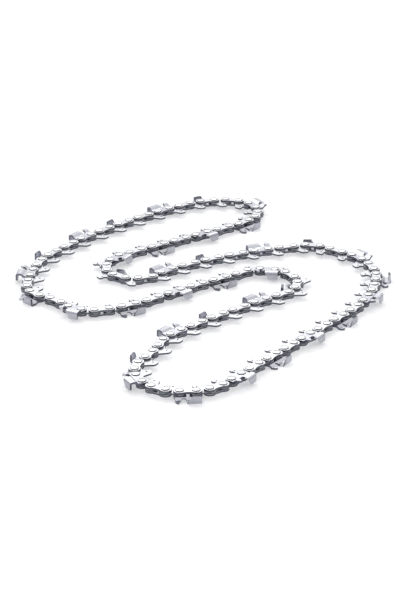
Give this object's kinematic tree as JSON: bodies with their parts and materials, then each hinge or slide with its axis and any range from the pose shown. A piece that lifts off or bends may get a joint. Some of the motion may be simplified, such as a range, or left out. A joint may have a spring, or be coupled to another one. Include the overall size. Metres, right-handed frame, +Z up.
{
  "type": "chainsaw chain",
  "caption": "Closed saw chain lying on its side in an S-shaped loop: riveted drive links with hooked tangs, tie straps and left- and right-hand cutters with depth gauges.",
  "frame": {"origin": "middle of the whole chain's bounding box, on the surface that it lies on", "axes": "+Z up, across the chain and along its rivets; +Y along the lay's longest extent, away from the viewer of the picture; +X to the right"},
  "size_m": [0.2563, 0.3488, 0.0069],
  "materials": {
    "link_steel": "bright rolled and stamped steel, faces paler than the sheared edges",
    "cutter_steel": "hard plated, satin, with a ground cutting edge",
    "rivet_steel": "smooth formed heads"
  },
  "bodies": {
    "section_01": {"right_cutter_section_01": "link_steel"},
    "section_02": {"left_cutter_section_02": "link_steel"},
    "section_03": {"right_cutter_section_03": "link_steel"},
    "section_04": {"left_cutter_section_04": "link_steel"},
    "section_05": {"right_cutter_section_05": "link_steel"},
    "section_06": {"left_cutter_section_06": "link_steel"},
    "section_07": {"right_cutter_section_07": "link_steel"},
    "section_08": {"left_cutter_section_08": "link_steel"},
    "section_09": {"right_cutter_section_09": "link_steel"},
    "section_10": {"left_cutter_section_10": "link_steel"},
    "section_11": {"right_cutter_section_11": "link_steel"},
    "section_12": {"left_cutter_section_12": "link_steel"},
    "section_13": {"right_cutter_section_13": "link_steel"},
    "section_14": {"left_cutter_section_14": "link_steel"},
    "section_15": {"right_cutter_section_15": "link_steel"},
    "section_16": {"left_cutter_section_16": "link_steel"},
    "section_17": {"right_cutter_section_17": "link_steel"},
    "section_18": {"left_cutter_section_18": "link_steel"},
    "section_19": {"right_cutter_section_19": "link_steel"},
    "section_20": {"left_cutter_section_20": "link_steel"},
    "section_21": {"right_cutter_section_21": "link_steel"},
    "section_22": {"left_cutter_section_22": "link_steel"},
    "section_23": {"right_cutter_section_23": "link_steel"},
    "section_24": {"left_cutter_section_24": "link_steel"},
    "section_25": {"right_cutter_section_25": "link_steel"},
    "section_26": {"left_cutter_section_26": "link_steel"},
    "section_27": {"right_cutter_section_27": "link_steel"},
    "section_28": {"left_cutter_section_28": "link_steel"},
    "section_29": {"right_cutter_section_29": "link_steel"},
    "section_30": {"left_cutter_section_30": "link_steel"},
    "section_31": {"right_cutter_section_31": "link_steel"},
    "section_32": {"left_cutter_section_32": "link_steel"},
    "section_33": {"right_cutter_section_33": "link_steel"},
    "section_34": {"left_cutter_section_34": "link_steel"},
    "section_35": {"right_cutter_section_35": "link_steel"},
    "section_36": {"left_cutter_section_36": "link_steel"}
  },
  "joints": [
    {"name": "pivot_01_02", "type": "hinge", "parent": "section_02", "child": "section_01", "pos_m": [-0.11569, -0.01013, 0.00345], "axis": [0, 0, -1], "range_deg": [-4.7, 4.7]},
    {"name": "pivot_02_03", "type": "hinge", "parent": "section_03", "child": "section_02", "pos_m": [-0.08821, -0.03579, 0.00345], "axis": [0, 0, -1], "range_deg": [-13.1, 13.1]},
    {"name": "pivot_03_04", "type": "hinge", "parent": "section_04", "child": "section_03", "pos_m": [-0.05279, -0.0351, 0.00345], "axis": [0, 0, -1], "range_deg": [-13.9, 13.9]},
    {"name": "pivot_04_05", "type": "hinge", "parent": "section_05", "child": "section_04", "pos_m": [-0.02253, -0.01219, 0.00345], "axis": [0, 0, -1], "range_deg": [-5.5, 5.5]},
    {"name": "pivot_05_06", "type": "hinge", "parent": "section_06", "child": "section_05", "pos_m": [0.00726, 0.01153, 0.00345], "axis": [0, 0, 1], "range_deg": [-11.1, 11.1]},
    {"name": "pivot_06_07", "type": "hinge", "parent": "section_07", "child": "section_06", "pos_m": [0.03879, 0.03205, 0.00345], "axis": [0, 0, 1], "range_deg": [-12, 12]},
    {"name": "pivot_07_08", "type": "hinge", "parent": "section_08", "child": "section_07", "pos_m": [0.06447, 0.00944, 0.00345], "axis": [0, 0, 1], "range_deg": [-2.9, 2.9]},
    {"name": "pivot_08_09", "type": "hinge", "parent": "section_09", "child": "section_08", "pos_m": [0.04301, -0.01999, 0.00345], "axis": [0, 0, 1], "range_deg": [-18, 18]},
    {"name": "pivot_09_10", "type": "hinge", "parent": "section_10", "child": "section_09", "pos_m": [0.01447, -0.04523, 0.00345], "axis": [0, 0, 1], "range_deg": [-14.2, 14.2]},
    {"name": "pivot_10_11", "type": "hinge", "parent": "section_11", "child": "section_10", "pos_m": [-0.01225, -0.07239, 0.00345], "axis": [0, 0, 1], "range_deg": [-12.1, 12.1]},
    {"name": "pivot_11_12", "type": "hinge", "parent": "section_12", "child": "section_11", "pos_m": [-0.02952, -0.10572, 0.00345], "axis": [0, 0, 1], "range_deg": [-13.6, 13.6]},
    {"name": "pivot_12_13", "type": "hinge", "parent": "section_13", "child": "section_12", "pos_m": [-0.03838, -0.14173, 0.00345], "axis": [0, 0, 1], "range_deg": [-4.9, 4.9]},
    {"name": "pivot_13_14", "type": "hinge", "parent": "section_14", "child": "section_13", "pos_m": [-0.01063, -0.16455, 0.00345], "axis": [0, 0, 1], "range_deg": [-18, 18]},
    {"name": "pivot_14_15", "type": "hinge", "parent": "section_15", "child": "section_14", "pos_m": [0.02096, -0.14697, 0.00345], "axis": [0, 0, 1], "range_deg": [-11.7, 11.7]},
    {"name": "pivot_15_16", "type": "hinge", "parent": "section_16", "child": "section_15", "pos_m": [0.04309, -0.11596, 0.00345], "axis": [0, 0, 1], "range_deg": [-7.5, 7.5]},
    {"name": "pivot_16_17", "type": "hinge", "parent": "section_17", "child": "section_16", "pos_m": [0.06522, -0.08496, 0.00345], "axis": [0, 0, 1], "range_deg": [-14.9, 14.9]},
    {"name": "pivot_17_18", "type": "hinge", "parent": "section_18", "child": "section_17", "pos_m": [0.08735, -0.05396, 0.00345], "axis": [0, 0, 1], "range_deg": [-7.4, 7.4]},
    {"name": "pivot_18_19", "type": "hinge", "parent": "section_18", "child": "section_19", "pos_m": [0.10762, -0.0218, 0.00345], "axis": [0, 0, -1], "range_deg": [-9.2, 9.2]},
    {"name": "pivot_19_20", "type": "hinge", "parent": "section_19", "child": "section_20", "pos_m": [0.11772, 0.01477, 0.00345], "axis": [0, 0, -1], "range_deg": [-14.9, 14.9]},
    {"name": "pivot_20_21", "type": "hinge", "parent": "section_20", "child": "section_21", "pos_m": [0.10993, 0.05117, 0.00345], "axis": [0, 0, -1], "range_deg": [-2.3, 2.3]},
    {"name": "pivot_21_22", "type": "hinge", "parent": "section_21", "child": "section_22", "pos_m": [0.08111, 0.07576, 0.00345], "axis": [0, 0, -1], "range_deg": [-9.9, 9.9]},
    {"name": "pivot_22_23", "type": "hinge", "parent": "section_22", "child": "section_23", "pos_m": [0.04453, 0.06883, 0.00345], "axis": [0, 0, -1], "range_deg": [-6.5, 6.5]},
    {"name": "pivot_23_24", "type": "hinge", "parent": "section_23", "child": "section_24", "pos_m": [0.01001, 0.05278, 0.00345], "axis": [0, 0, -1], "range_deg": [-14.3, 14.3]},
    {"name": "pivot_24_25", "type": "hinge", "parent": "section_24", "child": "section_25", "pos_m": [-0.02136, 0.03129, 0.00345], "axis": [0, 0, -1], "range_deg": [-13.9, 13.9]},
    {"name": "pivot_25_26", "type": "hinge", "parent": "section_25", "child": "section_26", "pos_m": [-0.05292, 0.01463, 0.00345], "axis": [0, 0, -1], "range_deg": [-2.9, 2.9]},
    {"name": "pivot_26_27", "type": "hinge", "parent": "section_26", "child": "section_27", "pos_m": [-0.06518, 0.04618, 0.00345], "axis": [0, 0, -1], "range_deg": [-18, 18]},
    {"name": "pivot_27_28", "type": "hinge", "parent": "section_27", "child": "section_28", "pos_m": [-0.03727, 0.07147, 0.00345], "axis": [0, 0, -1], "range_deg": [-15.6, 15.6]},
    {"name": "pivot_28_29", "type": "hinge", "parent": "section_28", "child": "section_29", "pos_m": [-0.00684, 0.09439, 0.00345], "axis": [0, 0, -1], "range_deg": [-13.7, 13.7]},
    {"name": "pivot_29_30", "type": "hinge", "parent": "section_29", "child": "section_30", "pos_m": [0.02359, 0.1173, 0.00345], "axis": [0, 0, -1], "range_deg": [-13.4, 13.4]},
    {"name": "pivot_30_31", "type": "hinge", "parent": "section_30", "child": "section_31", "pos_m": [0.03617, 0.15071, 0.00345], "axis": [0, 0, -1], "range_deg": [-3, 3]},
    {"name": "pivot_31_32", "type": "hinge", "parent": "section_31", "child": "section_32", "pos_m": [0.00496, 0.16582, 0.00345], "axis": [0, 0, -1], "range_deg": [-18, 18]},
    {"name": "pivot_32_33", "type": "hinge", "parent": "section_32", "child": "section_33", "pos_m": [-0.02782, 0.14721, 0.00345], "axis": [0, 0, -1], "range_deg": [-15.4, 15.4]},
    {"name": "pivot_33_34", "type": "hinge", "parent": "section_33", "child": "section_34", "pos_m": [-0.05626, 0.12187, 0.00345], "axis": [0, 0, -1], "range_deg": [-4.9, 4.9]},
    {"name": "pivot_34_35", "type": "hinge", "parent": "section_34", "child": "section_35", "pos_m": [-0.08186, 0.09367, 0.00345], "axis": [0, 0, -1], "range_deg": [-9.9, 9.9]},
    {"name": "pivot_35_36", "type": "hinge", "parent": "section_35", "child": "section_36", "pos_m": [-0.10393, 0.06263, 0.00345], "axis": [0, 0, -1], "range_deg": [-5, 5]}
  ],
  "couplings": [
    {"joint": "pivot_01_02", "follows": "pivot_04_05", "ratio": -0.85222},
    {"joint": "pivot_02_03", "follows": "pivot_04_05", "ratio": 2.3676},
    {"joint": "pivot_03_04", "follows": "pivot_04_05", "ratio": -2.5153},
    {"joint": "pivot_05_06", "follows": "pivot_09_10", "ratio": -0.77832},
    {"joint": "pivot_06_07", "follows": "pivot_09_10", "ratio": 0.8435},
    {"joint": "pivot_07_08", "follows": "pivot_09_10", "ratio": 0.19964},
    {"joint": "pivot_08_09", "follows": "pivot_09_10", "ratio": -1.2648},
    {"joint": "pivot_10_11", "follows": "pivot_14_15", "ratio": -1.0297},
    {"joint": "pivot_11_12", "follows": "pivot_14_15", "ratio": 1.1541},
    {"joint": "pivot_12_13", "follows": "pivot_14_15", "ratio": 0.41297},
    {"joint": "pivot_13_14", "follows": "pivot_14_15", "ratio": -1.5374},
    {"joint": "pivot_15_16", "follows": "pivot_17_18", "ratio": 1},
    {"joint": "pivot_16_17", "follows": "pivot_17_18", "ratio": -2},
    {"joint": "pivot_19_20", "follows": "pivot_18_19", "ratio": -1.6188},
    {"joint": "pivot_20_21", "follows": "pivot_18_19", "ratio": 0.24496},
    {"joint": "pivot_21_22", "follows": "pivot_18_19", "ratio": 1.076},
    {"joint": "pivot_22_23", "follows": "pivot_18_19", "ratio": -0.70219},
    {"joint": "pivot_24_25", "follows": "pivot_23_24", "ratio": -0.96894},
    {"joint": "pivot_25_26", "follows": "pivot_23_24", "ratio": -0.20279},
    {"joint": "pivot_26_27", "follows": "pivot_23_24", "ratio": 1.2557},
    {"joint": "pivot_27_28", "follows": "pivot_23_24", "ratio": -1.0839},
    {"joint": "pivot_29_30", "follows": "pivot_28_29", "ratio": -0.97532},
    {"joint": "pivot_30_31", "follows": "pivot_28_29", "ratio": -0.21652},
    {"joint": "pivot_31_32", "follows": "pivot_28_29", "ratio": 1.3121},
    {"joint": "pivot_32_33", "follows": "pivot_28_29", "ratio": -1.1202},
    {"joint": "pivot_34_35", "follows": "pivot_33_34", "ratio": -2.0001},
    {"joint": "pivot_35_36", "follows": "pivot_33_34", "ratio": 1.0001}
  ]
}
